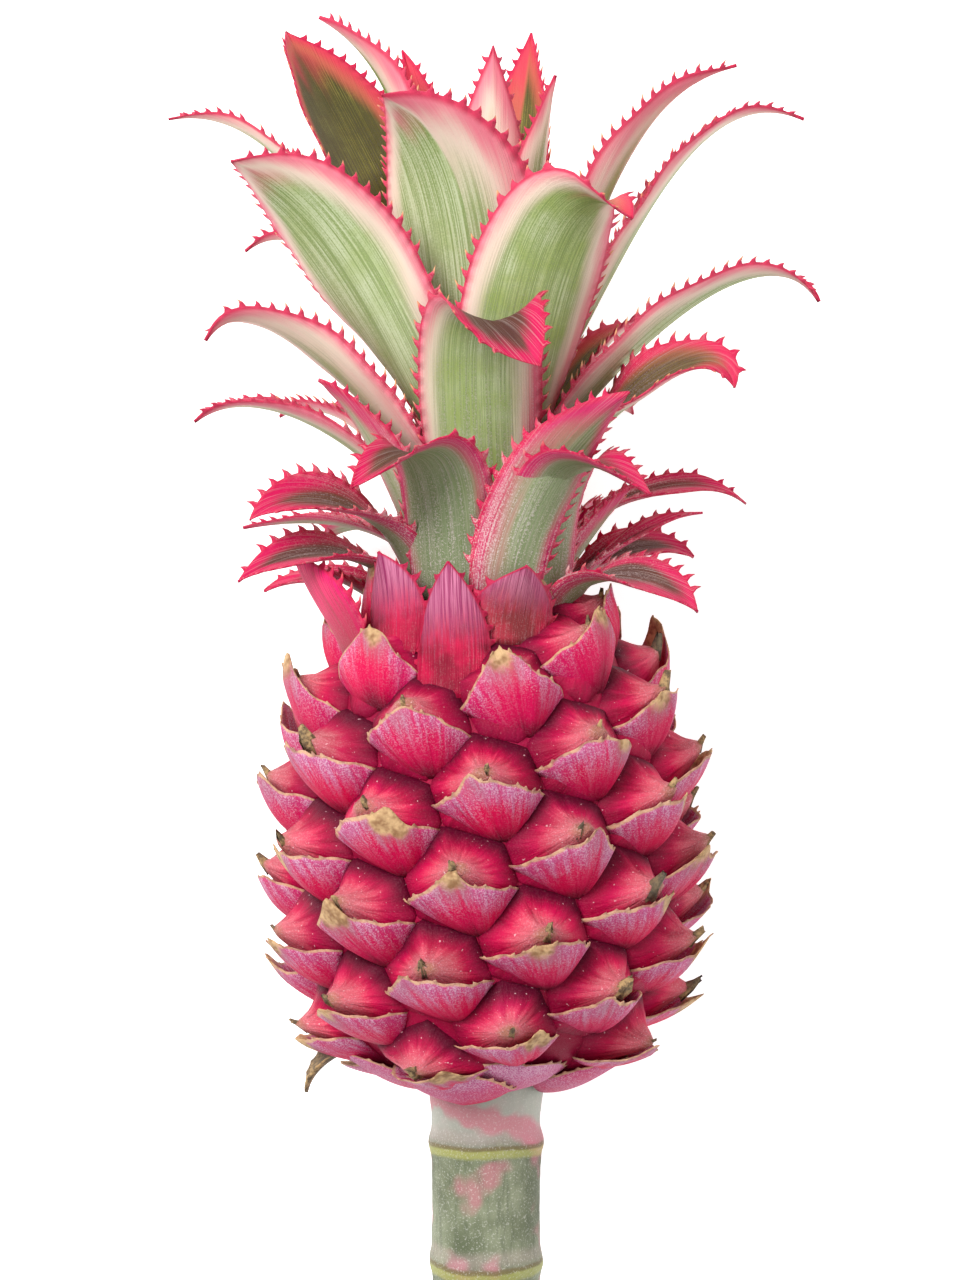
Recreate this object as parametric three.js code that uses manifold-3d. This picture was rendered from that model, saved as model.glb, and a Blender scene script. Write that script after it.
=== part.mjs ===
// An ornamental pineapple, cut with a short length of its stem and laid on its side.
//
// Units are millimetres and +Z is up. The axis of the plant is level and runs along Y, with the crown towards +Y.
// A place on the plant is given by three measures: the radius from the axis; the turn about the axis, in degrees,
// which is 0 at the top of the lying fruit and 90 on its +X side; and the station along the axis, which is 0 at the
// base of the fruit.
import * as THREE from 'three';
import { ParametricGeometry } from 'three/addons/geometries/ParametricGeometry.js';
import { mergeVertices } from 'three/addons/utils/BufferGeometryUtils.js';
import Module from 'manifold-3d';

// Driving dimensions.
const AXIS_HEIGHT = 42.5; // the axis over the surface that the fruit lies on
const CLEARANCE = 0.3; // gap between neighbouring pieces

const STEM_LENGTH = 52;
const STEM_RADIUS = 10.8;

const FRUITLET_COUNT = 62;
const FRUITLET_TURN = 137.85; // from one fruitlet of the spiral to the next one below it
const FRUITLET_PITCH = 1.34; // station from one fruitlet to the next
const FIRST_FRUITLET = { turn: 123, station: 86.4 };

const LEAF_THICKNESS = 1.5;
const LEAF_ALONG = 10; // steps from a leaf's base to its tip
const BASE_BRACT_COUNT = 7;

const wasm = await Module();
wasm.setup();

const { degToRad, lerp, smoothstep } = THREE.MathUtils;

// The point at a radius, a turn and a station.
function place(radius, turn, station) {
  const angle = degToRad(turn);
  return new THREE.Vector3(radius * Math.sin(angle), station, radius * Math.cos(angle));
}

// The direction that leans away from the axis, towards a turn.
function heading(lean, turn) {
  return place(Math.sin(degToRad(lean)), turn, Math.cos(degToRad(lean)));
}

// A closed surface as a solid, with its shared vertices merged.
function solidFrom(geometry) {
  const bare = geometry.clone();
  bare.deleteAttribute('normal');
  bare.deleteAttribute('uv');
  const merged = mergeVertices(bare, 1e-3);
  const mesh = new wasm.Mesh({
    numProp: 3,
    vertProperties: new Float32Array(merged.attributes.position.array),
    triVerts: new Uint32Array(merged.index.array),
  });
  return new wasm.Manifold(mesh);
}

function geometryFrom(solid) {
  const mesh = solid.simplify(0.05).getMesh();
  const positions = new THREE.BufferAttribute(new Float32Array(mesh.vertProperties), 3);
  const geometry = new THREE.BufferGeometry().setAttribute('position', positions);
  geometry.setIndex(new THREE.BufferAttribute(new Uint32Array(mesh.triVerts), 1));
  geometry.computeVertexNormals();
  return geometry;
}

// The biggest body of a solid, once a cut has left scraps beside it.
function mainBody(solid) {
  return solid.decompose().reduce((best, body) => (body.volume() > best.volume() ? body : best));
}

const finish = (color, roughness) => new THREE.MeshStandardMaterial({ color, roughness, metalness: 0 });
const FINISHES = {
  stem: finish('#a9b3a0', 0.75),
  fruit: finish('#c21f52', 0.55),
  leaf: finish('#a8bf93', 0.6),
  redLeaf: finish('#c9305f', 0.6),
  bract: finish('#d77fa6', 0.65),
};

// ---- The stem, with a swelling at each leaf scar.

const STEM_NODES = [-37, -13];
const STEM_SWELLING = 0.7;

function stemRadius(station) {
  const swelling = STEM_NODES.reduce((sum, node) => sum + Math.exp(-(((station - node) / 2.2) ** 2)), 0);
  return STEM_RADIUS + STEM_SWELLING * swelling + 0.9 * smoothstep(station, -12, 0);
}

function stemGeometry(extra) {
  const steps = 16;
  const profile = [new THREE.Vector2(0, -STEM_LENGTH - extra)];
  for (let i = 0; i <= steps; i++) {
    const station = lerp(-STEM_LENGTH, 0, i / steps);
    const height = lerp(-STEM_LENGTH - extra, extra, i / steps);
    profile.push(new THREE.Vector2(stemRadius(station) + extra, height));
  }
  profile.push(new THREE.Vector2(0, extra));
  return new THREE.LatheGeometry(profile, 18);
}

// ---- The fruit: one body of grown-together fruitlets, whose core runs on into the crown as a short stalk.

// Radius of the core, between the fruitlets, by station.
const CORE_PROFILE = [
  [CLEARANCE, 13],
  [4, 22],
  [10, 28.5],
  [20, 33],
  [34, 35.6],
  [50, 36],
  [64, 34.6],
  [76, 31],
  [85, 25.5],
  [91, 19.5],
  [97, 15.6],
];
const STALK = { base: 97, tip: 154, baseRadius: 15.6, tipRadius: 3 };

function stalkRadius(station) {
  const share = (station - STALK.base) / (STALK.tip - STALK.base);
  return lerp(STALK.baseRadius, STALK.tipRadius, share);
}

function coreRadius(station) {
  const above = CORE_PROFILE.findIndex(([at]) => at >= station);
  if (above < 0) return stalkRadius(station);
  if (above === 0) return CORE_PROFILE[0][1];
  const [[lowAt, lowRadius], [highAt, highRadius]] = CORE_PROFILE.slice(above - 1, above + 1);
  return lerp(lowRadius, highRadius, (station - lowAt) / (highAt - lowAt));
}

function coreGeometry(extra) {
  const outline = [...CORE_PROFILE, [STALK.tip, STALK.tipRadius]];
  const profile = outline.map(([station, radius]) => new THREE.Vector2(radius + extra, station));
  profile.unshift(new THREE.Vector2(0, profile[0].y));
  profile.push(new THREE.Vector2(0, STALK.tip + extra));
  return new THREE.LatheGeometry(profile, 28);
}

// Rings of a fruitlet from its root in the core to its beak: height over the core, half-width round the fruit,
// half-height along it, and how far the ring is shifted towards the crown.
const FRUITLET_RINGS = [
  { over: -5, half: 7, tall: 5.5, shift: 0 },
  { over: 1.2, half: 10.6, tall: 8.8, shift: -0.4 },
  { over: 5.6, half: 8.2, tall: 5.8, shift: 0.8 },
  { over: 9.4, half: 0, tall: 0, shift: 4 },
];
const FRUITLET_SIDES = 6;

// A fruitlet's surface: across runs round it, and along runs from its root, which is closed, to its beak.
function fruitletGeometry(index, extra) {
  const turn = FIRST_FRUITLET.turn + FRUITLET_TURN * index;
  const station = FIRST_FRUITLET.station - FRUITLET_PITCH * index;
  const radius = coreRadius(station);
  const size = 0.45 + (0.55 * radius) / 36;
  const outward = place(1, turn, 0);
  const sideways = place(1, turn + 90, 0);
  const rings = [{ ...FRUITLET_RINGS[0], half: 0, tall: 0 }, ...FRUITLET_RINGS];
  const surface = (across, along, target) => {
    const ring = rings[Math.round(along * (rings.length - 1))];
    const angle = across * 2 * Math.PI;
    const grow = ring.half > 0 ? extra : 0;
    target
      .copy(outward)
      .multiplyScalar(radius + ring.over * size + (ring.over > 0 ? extra : 0))
      .addScaledVector(sideways, (ring.half * size + grow) * Math.cos(angle));
    target.y = station + (ring.tall * size + grow) * Math.sin(angle) + ring.shift * size;
  };
  return new ParametricGeometry(surface, FRUITLET_SIDES, rings.length - 1);
}

// The fruitlets joined to the core. Beaks that reach the surface are pressed flat there.
function fruitSolid(extra) {
  let solid = solidFrom(coreGeometry(extra));
  for (let index = 0; index < FRUITLET_COUNT; index++) {
    solid = solid.add(solidFrom(fruitletGeometry(index, extra)));
  }
  const ground = new THREE.BoxGeometry(200, 200, 40).translate(0, 50, -AXIS_HEIGHT - 20);
  return mainBody(solid.subtract(solidFrom(ground)));
}

// ---- Leaves: each blade grows from the stalk along one curve, hollowed towards the axis.

// A surface pushes back what would reach below it, gently from a few millimetres above.
function pressed(height, floor) {
  const softness = 1.5;
  return floor + softness * Math.log1p(Math.exp((height - floor) / softness));
}

// The centre line of a leaf, from its base on the stalk to its tip.
function leafSpine(leaf) {
  const base = place(leaf.root ?? stalkRadius(leaf.at) + LEAF_THICKNESS, leaf.turn, leaf.at);
  const tip = place(leaf.reach, leaf.tipTurn, leaf.tipAt);
  const chord = base.distanceTo(tip);
  const [leanBase, leanTip] = leaf.lean;
  const [pullBase, pullTip] = leaf.pull ?? [1, 1];
  const baseHandle = heading(leanBase, leaf.turn).multiplyScalar((chord * pullBase) / 3);
  const tipHandle = heading(leanTip, leaf.heading ?? leaf.tipTurn).multiplyScalar((chord * pullTip) / 3);
  return new THREE.CubicBezierCurve3(base, base.clone().add(baseHandle), tip.clone().sub(tipHandle), tip);
}

// Share of the full width at a share of the length: a broad base, a belly, and a pointed tip.
function widthShare(share, { belly = 0.4, foot = 0.8, taper = 2 }) {
  if (share < belly) return lerp(foot, 1, Math.sin((0.5 * Math.PI * share) / belly));
  return 1 - ((share - belly) / (1 - belly)) ** taper;
}

// Points round a leaf's section: share of the half-width, and share of the half-thickness towards the axis.
const NARROW_SECTION = [
  [1, 0.4],
  [0, 1],
  [-1, 0.4],
  [-1, -0.4],
  [0, -1],
  [1, -0.4],
];
const BROAD_SECTION = [
  [1, 0.4],
  [0.42, 1],
  [-0.42, 1],
  [-1, 0.4],
  [-1, -0.4],
  [-0.42, -1],
  [0.42, -1],
  [1, -0.4],
];

// A leaf's surface, grown by extra on every side: across runs round it, and along runs from its base, closed to a
// sharp edge, to its pointed tip.
function leafGeometry(leaf, extra) {
  const spine = leafSpine(leaf);
  const sideAtBase = place(1, leaf.turn + 90, 0);
  const cupAtBase = Math.min(1.2, (0.5 * leaf.width * (leaf.foot ?? 0.8)) / (leaf.root ?? stalkRadius(leaf.at)));
  const section = leaf.width < 18 ? NARROW_SECTION : BROAD_SECTION;
  const tipward = spine.getPointAt(1).sub(spine.getPointAt(1 - 1 / (LEAF_ALONG - 1))).normalize();
  const surface = (across, along, target) => {
    const step = Math.round(along * LEAF_ALONG);
    const share = Math.max(0, step - 1) / (LEAF_ALONG - 1);
    const tangent = spine.getTangentAt(share);
    const side = sideAtBase.clone().addScaledVector(tangent, -sideAtBase.dot(tangent)).normalize();
    const inward = tangent.clone().cross(side);
    const halfThickness = 0.5 * LEAF_THICKNESS * lerp(1, 0.5, share);
    const [sideShare, thicknessShare] = section[Math.round(across * section.length) % section.length];
    target.copy(spine.getPointAt(share));
    if (step < LEAF_ALONG) {
      const halfWidth = 0.5 * leaf.width * widthShare(share, leaf);
      const bendRadius = halfWidth / lerp(cupAtBase, leaf.cup ?? 0.7, Math.min(1, share / 0.4));
      const margin = Math.abs(sideShare) === 1 ? extra * sideShare : 0;
      const bend = (sideShare * halfWidth + margin) / bendRadius;
      target.addScaledVector(side, bendRadius * Math.sin(bend));
      target.addScaledVector(inward, bendRadius * (1 - Math.cos(bend)));
    }
    target.z = pressed(target.z, -AXIS_HEIGHT + halfThickness);
    if (step === 0) target.addScaledVector(tangent, -1 - extra);
    else if (step === LEAF_ALONG) target.addScaledVector(tipward, 3 * extra);
    else target.addScaledVector(inward, halfThickness * thicknessShare + extra * Math.sign(thicknessShare));
  };
  return new ParametricGeometry(surface, section.length, LEAF_ALONG);
}

// The crown's leaves from the lowest, outermost one to the heart. at and turn place the base on the stalk; reach,
// tipTurn and tipAt place the tip; lean is the angle from the axis at the base and at the tip.
const CROWN_LEAVES = [
  { at: 86, turn: -14, width: 14, reach: 26, tipTurn: -17, tipAt: 102, lean: [15, 20] },
  { at: 88, turn: -42, width: 13, reach: 28, tipTurn: -48, tipAt: 104, lean: [25, 40] },
  { at: 86, turn: -78, width: 16, reach: 35, tipTurn: -80, tipAt: 103, lean: [45, 30] },
  { at: 89, turn: 150, width: 14, reach: 38, tipTurn: 150, tipAt: 97, lean: [50, 90] },
  { at: 89, turn: 206, width: 14, reach: 38, tipTurn: 208, tipAt: 97, lean: [50, 90] },
  { at: 92, turn: 55, width: 15, reach: 46.6, tipTurn: 60, tipAt: 92.3, lean: [20, 135], pull: [1.3, 1] },
  { at: 93, turn: 8, width: 14, reach: 28, tipTurn: 14, tipAt: 97, lean: [10, 150], pull: [1.6, 1.2] },
  { at: 95, turn: -66, width: 13, reach: 51, tipTurn: -70, tipAt: 98.2, lean: [28, 130], pull: [1.2, 1] },
  { at: 92, turn: -88, width: 8, reach: 34, tipTurn: -90, tipAt: 101, lean: [45, 70] },
  { at: 94, turn: -104, width: 8, reach: 46.8, tipTurn: -104, tipAt: 97, lean: [45, 115] },
  { at: 96, turn: 178, width: 18, reach: 45, tipTurn: 180, tipAt: 106, lean: [45, 100] },
  { at: 97, turn: 106, width: 12, reach: 44.6, tipTurn: 107, tipAt: 104, lean: [42, 125] },
  { at: 98, turn: 92, width: 6, reach: 44, tipTurn: 96, tipAt: 112.8, lean: [50, 85] },
  {
    at: 98, turn: 24, width: 23, reach: 46, tipTurn: 41, tipAt: 114,
    lean: [10, 125], heading: 75, pull: [2.2, 2], taper: 2.6,
  },
  { at: 100, turn: -60, width: 16, reach: 50, tipTurn: -65, tipAt: 110, lean: [22, 135], pull: [1.3, 1] },
  { at: 100, turn: 124, width: 16, reach: 34, tipTurn: 124, tipAt: 117, lean: [30, 45] },
  { at: 100, turn: 72, width: 10, reach: 29, tipTurn: 76, tipAt: 117, lean: [30, 40] },
  { at: 101, turn: 222, width: 18, reach: 50, tipTurn: 224, tipAt: 108, lean: [35, 120] },
  {
    at: 103, turn: -26, width: 26, reach: 42.7, tipTurn: -36, tipAt: 115.4,
    lean: [8, 130], heading: -80, pull: [2.4, 2], taper: 2.6,
  },
  { at: 102, turn: 152, width: 18, reach: 48, tipTurn: 150, tipAt: 113, lean: [35, 115] },
  { at: 104, turn: -104, width: 8, reach: 51, tipTurn: -103, tipAt: 110, lean: [45, 100] },
  { at: 106, turn: 94, width: 8, reach: 53, tipTurn: 96, tipAt: 114.6, lean: [42, 128] },
  { at: 104, turn: -52, width: 12, reach: 38, tipTurn: -58, tipAt: 137, lean: [26, 60] },
  { at: 107, turn: 188, width: 22, reach: 46, tipTurn: 190, tipAt: 128, lean: [28, 110] },
  { at: 108, turn: 45, width: 22, reach: 37, tipTurn: 53, tipAt: 134, lean: [22, 50] },
  { at: 112, turn: -80, width: 13, reach: 58, tipTurn: -82, tipAt: 130, lean: [33, 130] },
  {
    at: 112, turn: -3, width: 26, reach: 41, tipTurn: 14, tipAt: 137.5,
    lean: [12, 140], heading: 60, pull: [2.5, 2.1], taper: 3,
  },
  { at: 113, turn: 236, width: 18, reach: 50, tipTurn: 240, tipAt: 134, lean: [30, 115] },
  { at: 114, turn: 146, width: 20, reach: 52, tipTurn: 142, tipAt: 136, lean: [30, 110] },
  { at: 116, turn: 62, width: 20, reach: 53, tipTurn: 63, tipAt: 135, lean: [38, 170], pull: [1.05, 1.1] },
  { at: 118, turn: -72, width: 15, reach: 57, tipTurn: -72, tipAt: 144.8, lean: [28, 150] },
  { at: 119, turn: 200, width: 24, reach: 48, tipTurn: 204, tipAt: 158, lean: [24, 100] },
  { at: 122, turn: 114, width: 18, reach: 38, tipTurn: 110, tipAt: 150, lean: [22, 120] },
  { at: 122, turn: 74, width: 16, reach: 66.2, tipTurn: 79, tipAt: 153, lean: [32, 150], pull: [1.1, 1] },
  {
    at: 122, turn: 22, width: 28, reach: 46, tipTurn: 36, tipAt: 165,
    lean: [16, 125], heading: 65, pull: [1.3, 0.95], belly: 0.45, taper: 3,
  },
  { at: 126, turn: 168, width: 24, reach: 46, tipTurn: 164, tipAt: 176, lean: [20, 80] },
  {
    at: 126, turn: -48, width: 26, reach: 58.3, tipTurn: -55, tipAt: 176.5,
    lean: [38, 80], belly: 0.5, taper: 2.6,
  },
  { at: 128, turn: -110, width: 12, reach: 54, tipTurn: -112, tipAt: 168, lean: [30, 125] },
  {
    at: 130, turn: -135, width: 36, reach: 49, tipTurn: -121, tipAt: 215,
    lean: [14, 30], heading: -110, belly: 0.5, taper: 3,
  },
  {
    at: 130, turn: -20, width: 35, reach: 38, tipTurn: -31, tipAt: 189,
    lean: [6, 75], heading: -50, belly: 0.45, taper: 2.4,
  },
  { at: 132, turn: 86, width: 14, reach: 63.5, tipTurn: 89, tipAt: 191, lean: [34, 115] },
  { at: 134, turn: 208, width: 22, reach: 40, tipTurn: 214, tipAt: 192, lean: [14, 60] },
  { at: 136, turn: 70, width: 18, reach: 50, tipTurn: 80, tipAt: 200, lean: [28, 80], taper: 1.6 },
  { at: 136, turn: -92, width: 14, reach: 64.5, tipTurn: -95, tipAt: 192.5, lean: [38, 100] },
  { at: 138, turn: -82, width: 24, reach: 34, tipTurn: -98, tipAt: 212.8, lean: [12, 60] },
  { at: 144, turn: 196, width: 14, reach: 24, tipTurn: 226, tipAt: 209, lean: [8, 25] },
  { at: 146, turn: 62, width: 14, reach: 15, tipTurn: 66, tipAt: 198.6, lean: [10, 14] },
  { at: 146, turn: 142, width: 22, reach: 20, tipTurn: 152, tipAt: 212.8, lean: [9, 8] },
  {
    at: 149, turn: 8, width: 24, reach: 10, tipTurn: 8, tipAt: 203.6,
    lean: [4, 8], belly: 0.3, taper: 1.4,
  },
];

// The lowest bracts spread like a collar under the fruit.
function baseBract(index) {
  const turn = 14 + FRUITLET_TURN * index;
  return {
    at: -0.6 - 0.5 * index,
    root: 13,
    turn,
    width: 22,
    reach: 31,
    tipTurn: turn,
    tipAt: 3.5 - 0.5 * index,
    lean: [80, 75],
    cup: 0.5,
    belly: 0.3,
    taper: 1.6,
  };
}

// ---- Assembly. Pieces are placed from the inside out, and each one is cut back from those it would run into.

const pineapple = new THREE.Group();
const placed = [];

// Places a piece, which build gives at its size grown by a number of millimetres.
function addPiece(name, material, build) {
  const solid = placed.reduce((rest, other) => rest.subtract(other), build(0));
  const mesh = new THREE.Mesh(geometryFrom(mainBody(solid)), material);
  mesh.name = name;
  pineapple.add(mesh);
  placed.push(build(CLEARANCE));
}

addPiece('fruit', FINISHES.fruit, fruitSolid);
addPiece('stem', FINISHES.stem, (extra) => solidFrom(stemGeometry(extra)));
for (let index = CROWN_LEAVES.length - 1; index >= 0; index--) {
  const leaf = CROWN_LEAVES[index];
  const name = `crown_leaf_${String(index + 1).padStart(2, '0')}`;
  const material = leaf.at < 108 ? FINISHES.redLeaf : FINISHES.leaf;
  addPiece(name, material, (extra) => solidFrom(leafGeometry(leaf, extra)));
}
for (let index = 0; index < BASE_BRACT_COUNT; index++) {
  addPiece(`base_bract_${index + 1}`, FINISHES.bract, (extra) => solidFrom(leafGeometry(baseBract(index), extra)));
}

// The origin is on the surface, below the middle of the whole piece.
const bounds = new THREE.Box3().setFromObject(pineapple);
const middle = bounds.getCenter(new THREE.Vector3());
pineapple.position.set(-middle.x, -middle.y, -bounds.min.z);

export default pineapple;
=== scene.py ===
# %% [markdown]
# # An ornamental pineapple, cut and laid on its side
# The real thing is a small bromeliad fruit sold as a flower: a crimson fruit of spiralling, beaked fruitlets, a crown
# of arching leaves with hooked spines, and a length of stem. The imported model gives the frame and the plain solids.
# This script gives every piece its fine surface and its finish. The frame is read first, because every place on the
# plant is worked out from it.

# %% Load the frame
import math
import random

import bmesh
import bpy
from mathutils import Matrix, Vector, noise


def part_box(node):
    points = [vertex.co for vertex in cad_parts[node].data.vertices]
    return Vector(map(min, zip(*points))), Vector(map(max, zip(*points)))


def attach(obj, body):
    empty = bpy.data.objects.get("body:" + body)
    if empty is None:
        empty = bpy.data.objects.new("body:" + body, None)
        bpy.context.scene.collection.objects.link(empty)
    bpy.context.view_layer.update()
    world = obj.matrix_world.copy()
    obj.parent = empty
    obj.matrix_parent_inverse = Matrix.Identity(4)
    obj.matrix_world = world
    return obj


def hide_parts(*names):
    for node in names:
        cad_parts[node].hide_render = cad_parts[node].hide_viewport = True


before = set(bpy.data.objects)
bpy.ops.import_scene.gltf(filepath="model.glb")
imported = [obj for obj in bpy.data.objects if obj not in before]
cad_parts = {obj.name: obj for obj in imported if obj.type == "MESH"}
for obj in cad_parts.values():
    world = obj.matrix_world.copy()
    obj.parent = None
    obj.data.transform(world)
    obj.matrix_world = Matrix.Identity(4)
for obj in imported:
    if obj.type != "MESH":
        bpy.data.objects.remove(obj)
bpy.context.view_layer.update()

# %% [markdown]
# ## Measures on a lying plant
# Everything on a pineapple is set round one axis, so a place on it is easiest to give by three measures: the radius
# from the axis, the turn about it and the station along it. Here the axis is level and runs along Y towards the crown.
# A turn of 0 is the top of the lying fruit, 90 is its +X side, and station 0 is the base of the fruit. The pieces are
# built in these plant millimetres, and one matrix carries them to the frame. The stem is a round bar whose cut end is
# 52 mm below the fruit, so its box shows where the axis and station 0 are.

# %% Places and directions
STEM_LENGTH = 52.0

stem_low, stem_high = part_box("stem")
AXIS_HEIGHT = 500.0 * (stem_low[2] + stem_high[2])
ORIGIN = Vector(((stem_low[0] + stem_high[0]) / 2, stem_low[1] + STEM_LENGTH / 1000, AXIS_HEIGHT / 1000))
PLANT_TO_FRAME = Matrix.Translation(ORIGIN) @ Matrix.Scale(0.001, 4)


def place(radius, turn, station):
    angle = math.radians(turn)
    return Vector((radius * math.sin(angle), station, radius * math.cos(angle)))


def heading(lean, turn):
    return place(math.sin(math.radians(lean)), turn, math.cos(math.radians(lean)))


def lerp(low, high, share):
    return low + (high - low) * share


def smooth(value, low, high):
    share = min(1.0, max(0.0, (value - low) / (high - low)))
    return share * share * (3 - 2 * share)


FLOOR_SOFTNESS = 1.5


def pressed(height, floor=-AXIS_HEIGHT):
    """What would reach below the floor is pushed up and lies along it; higher places stay where they are."""
    above = (height - floor) / FLOOR_SOFTNESS
    return height if above > 30 else floor + FLOOR_SOFTNESS * math.log1p(math.exp(above))


print("axis height", round(AXIS_HEIGHT, 2), "mm, station 0 at", [round(value, 4) for value in ORIGIN])

# %% [markdown]
# ## From bmesh to a piece
# Each piece starts as a bmesh in plant millimetres. Finishing it is always the same: it is carried to the frame, shaded
# smooth, given its materials and told which body it rides on, and the plain solids it stands for are hidden. A function
# keeps that in one place. Leaves and bracts are sheets, and a Solidify modifier gives them their two faces and a rim.
# The flesh weight of each vertex makes a sheet thinner towards its margin and its spines. Where a sheet has two
# materials, the second goes on its inner face.

# %% Finish a piece
THINNEST_SHARE = 0.15


def finish_piece(name, bm, materials, nodes=(), thickness=0.0):
    bmesh.ops.transform(bm, matrix=PLANT_TO_FRAME, verts=bm.verts)
    for face in bm.faces:
        face.smooth = True
    mesh = bpy.data.meshes.new(name)
    bm.to_mesh(mesh)
    bm.free()
    piece = bpy.data.objects.new(name, mesh)
    bpy.context.scene.collection.objects.link(piece)
    for material in materials:
        mesh.materials.append(material)
    if thickness:
        piece.vertex_groups.new(name="flesh")
        shell = piece.modifiers.new("shell", "SOLIDIFY")
        shell.thickness = thickness / 1000
        shell.offset = 0.0
        shell.use_even_offset = False
        shell.vertex_group = "flesh"
        shell.thickness_vertex_group = THINNEST_SHARE
        shell.material_offset = len(materials) - 1
    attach(piece, "root")
    if nodes:
        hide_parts(*nodes)
    return piece


def add_to(whole, part):
    """Moves one bmesh into another, with its attributes."""
    carrier = bpy.data.meshes.new("carrier")
    part.to_mesh(carrier)
    part.free()
    whole.from_mesh(carrier)
    bpy.data.meshes.remove(carrier)


def sheet_layers(bm, names):
    return {name: bm.verts.layers.float.new(name) for name in names}


# %% [markdown]
# ## Writing materials as sums
# A leaf's colour depends on how near the margin a point is, how far along the leaf it is and on fine streaks, so its
# material needs a lot of arithmetic. Node by node that is hard to read. A Signal wraps one socket, and adding or
# multiplying signals adds the Math nodes. A Finish is one material with its Principled shader, and its node method
# makes every other node. Constants go straight on the shader's own sockets.

# %% Signals and finishes
class Signal:
    """One value flowing through a material."""

    def __init__(self, finish, socket):
        self.finish = finish
        self.socket = socket

    def math(self, operation, *values, clamp=False):
        settings = {"operation": operation, "use_clamp": clamp}
        return self.finish.node("ShaderNodeMath", settings, dict(enumerate(values)))

    def __add__(self, other): return self.math("ADD", self, other)
    def __radd__(self, other): return self.math("ADD", other, self)
    def __sub__(self, other): return self.math("SUBTRACT", self, other)
    def __rsub__(self, other): return self.math("SUBTRACT", other, self)
    def __mul__(self, other): return self.math("MULTIPLY", self, other)
    def __rmul__(self, other): return self.math("MULTIPLY", other, self)

    def size(self): return self.math("ABSOLUTE", self)
    def clamped(self): return self.math("ADD", self, 0.0, clamp=True)

    def rise(self, low, high):
        """0 below low, 1 above high, and smooth between; it falls where low is the larger."""
        settings = {"interpolation_type": "SMOOTHSTEP"}
        falls = low > high
        inputs = {"Value": self, "From Min": min(low, high), "From Max": max(low, high),
                  "To Min": float(falls), "To Max": float(not falls)}
        return self.finish.node("ShaderNodeMapRange", settings, inputs)


class Finish:
    """A material with one Principled shader."""

    def __init__(self, name, **constants):
        self.material = bpy.data.materials.new(name)
        self.material.use_nodes = True
        self.tree = self.material.node_tree
        self.shader = self.tree.nodes["Principled BSDF"]
        for socket, value in constants.items():
            self.shader.inputs[socket.replace("_", " ").title().replace("Ior", "IOR")].default_value = value

    def node(self, kind, settings=None, inputs=None, output=0):
        made = self.tree.nodes.new(kind)
        for setting, value in (settings or {}).items():
            setattr(made, setting, value)
        for socket, value in (inputs or {}).items():
            if isinstance(value, Signal):
                self.tree.links.new(value.socket, made.inputs[socket])
            else:
                made.inputs[socket].default_value = value
        return Signal(self, made.outputs[output])

    def attribute(self, name):
        return self.node("ShaderNodeAttribute", {"attribute_name": name}, output="Fac")

    def place(self):
        return self.node("ShaderNodeTexCoord", output="Object")

    def vector(self, x=0.0, y=0.0, z=0.0):
        return self.node("ShaderNodeCombineXYZ", None, {"X": x, "Y": y, "Z": z})

    def noise(self, vector, scale, detail=2.0, roughness=0.5):
        inputs = {"Vector": vector, "Scale": scale, "Detail": detail, "Roughness": roughness}
        return self.node("ShaderNodeTexNoise", None, inputs)

    def mix(self, factor, below, above):
        inputs = {0: factor, 6: colour(below), 7: colour(above)}
        return self.node("ShaderNodeMix", {"data_type": "RGBA"}, inputs, output=2)

    def bump(self, height, distance, strength):
        inputs = {"Height": height, "Distance": distance, "Strength": strength}
        return self.node("ShaderNodeBump", None, inputs)

    def connect(self, **signals):
        for socket, signal in signals.items():
            self.tree.links.new(signal.socket, self.shader.inputs[socket.replace("_", " ").title()])
        return self.material


def colour(value):
    """Screen colour in 0 to 255 to the linear colour that a shader takes; a signal passes through."""
    if isinstance(value, Signal):
        return value
    return tuple(((part / 255 + 0.055) / 1.055) ** 2.4 if part > 10 else part / 3295 for part in value) + (1.0,)


print("crimson is", [round(part, 3) for part in colour((200, 20, 70))])

# %% [markdown]
# ## The crown leaves: one spine curve each
# A leaf grows from the short stalk in the crown, leans out and arches over, and it is hollowed like a channel towards
# the axis. It could be sculpted, but fifty leaves need a rule. So each leaf is a row of numbers: where its base and
# tip are, how far it leans at each end, and how wide it is. The centre line is a Bezier curve between the two ends.
# Most rows are those of the plain solids. A few leaves start lower here, to cover the join with the fruit.
#
# The named values at the end of a row are for leaves that differ. A root is the radius where the leaf starts, if it
# doesn't grow out of the stalk. A heading is the way the tip points, and a pull lengthens the two handles of the
# curve. Foot, belly and taper shape the outline, and a twist turns the blade on its centre line. Blush widens or
# narrows the pale and pink zones of the two margins. Lilac and magenta tell the finish that the leaf is a bract.

# %% The rows of the crown
LEAF_THICKNESS = 0.9
STALK = {"base": 97.0, "tip": 154.0, "base_radius": 15.6, "tip_radius": 3.0}
LEAF_ROOT = 1.5  # a leaf's centre line starts this far out of the stalk


def crown_leaf(at, turn, width, reach, tip_turn, tip_at, lean, **special):
    """Base station and turn, width, then the tip's radius, turn and station, and how far the two ends lean out."""
    return dict(at=at, turn=turn, width=width, reach=reach, tip_turn=tip_turn, tip_at=tip_at, lean=lean, **special)


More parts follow.
